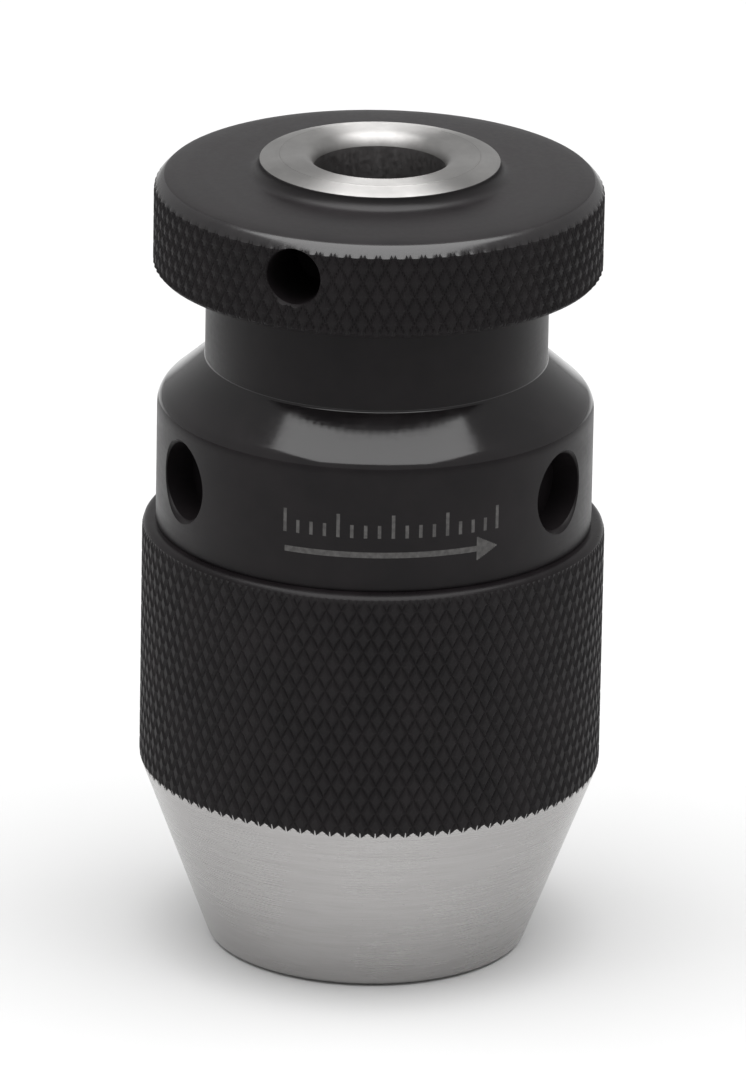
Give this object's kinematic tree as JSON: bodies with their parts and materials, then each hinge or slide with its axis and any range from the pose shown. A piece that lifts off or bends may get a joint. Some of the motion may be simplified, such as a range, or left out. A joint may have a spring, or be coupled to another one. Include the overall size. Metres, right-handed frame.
{
  "type": "keyless drill chuck",
  "caption": "Keyless self-tightening drill chuck with a knurled flange and sleeve, a tapered socket at the back, and a ground nose with sliding jaws that a turned sleeve closes.",
  "frame": {"origin": "centre of the nose face, on the chuck's axis, where it stands", "axes": "+Z along the chuck's axis towards the taper socket; -Y is the front, towards the flange hole's side"},
  "size_m": [0.0342, 0.0342, 0.0611],
  "materials": {
    "black_oxide": "black-oxided steel, semi-gloss",
    "bright_steel": "turned steel",
    "plain_steel": "machined steel, oiled",
    "hard_steel": "hardened and ground steel",
    "cage_brass": "machined brass",
    "bush_bronze": "bearing bronze",
    "seal_rubber": "black nitrile rubber"
  },
  "bodies": {
    "taper_body": {"body": "bright_steel", "flange_ring": "black_oxide", "seal_ring": "seal_rubber", "lower_race": "hard_steel"},
    "sleeve_group": {"sleeve": "black_oxide", "hood": "black_oxide", "neck_bush": "bush_bronze", "upper_race": "hard_steel", "jaw_guide": "plain_steel"},
    "ball_group": {"ball_cage": "cage_brass", "ball_01": "hard_steel", "ball_02": "hard_steel", "ball_03": "hard_steel", "ball_04": "hard_steel", "ball_05": "hard_steel", "ball_06": "hard_steel", "ball_07": "hard_steel", "ball_08": "hard_steel", "ball_09": "hard_steel", "ball_10": "hard_steel", "ball_11": "hard_steel", "ball_12": "hard_steel", "ball_13": "hard_steel", "ball_14": "hard_steel", "ball_15": "hard_steel", "ball_16": "hard_steel"},
    "spindle": {"screw_spindle": "plain_steel"},
    "jaw_body_1": {"jaw_1": "hard_steel"},
    "jaw_body_2": {"jaw_2": "hard_steel"},
    "jaw_body_3": {"jaw_3": "hard_steel"}
  },
  "joints": [
    {"name": "sleeve_turn", "type": "hinge", "parent": "taper_body", "child": "sleeve_group", "pos_m": [0, 0, 0], "axis": [0, 0, 1], "range_deg": [0, 1689]},
    {"name": "cage_turn", "type": "hinge", "parent": "taper_body", "child": "ball_group", "pos_m": [0, 0, 0], "axis": [0, 0, 1], "range_deg": [0, 845]},
    {"name": "spindle_feed", "type": "slide", "parent": "sleeve_group", "child": "spindle", "axis": [0, 0, -1], "range_m": [0, 0.0094]},
    {"name": "jaw_slide_1", "type": "slide", "parent": "sleeve_group", "child": "jaw_body_1", "axis": [0, 0.309, -0.9511], "range_m": [0, 0.00988]},
    {"name": "jaw_slide_2", "type": "slide", "parent": "sleeve_group", "child": "jaw_body_2", "axis": [-0.2676, -0.1545, -0.9511], "range_m": [0, 0.00988]},
    {"name": "jaw_slide_3", "type": "slide", "parent": "sleeve_group", "child": "jaw_body_3", "axis": [0.2676, -0.1545, -0.9511], "range_m": [0, 0.00988]}
  ],
  "couplings": [
    {"joint": "cage_turn", "follows": "sleeve_turn", "ratio": 0.5},
    {"joint": "spindle_feed", "follows": "sleeve_turn", "m_per_rad": 0.00031831},
    {"joint": "jaw_slide_1", "follows": "sleeve_turn", "m_per_rad": 0.00033469},
    {"joint": "jaw_slide_2", "follows": "sleeve_turn", "m_per_rad": 0.00033469},
    {"joint": "jaw_slide_3", "follows": "sleeve_turn", "m_per_rad": 0.00033469}
  ]
}
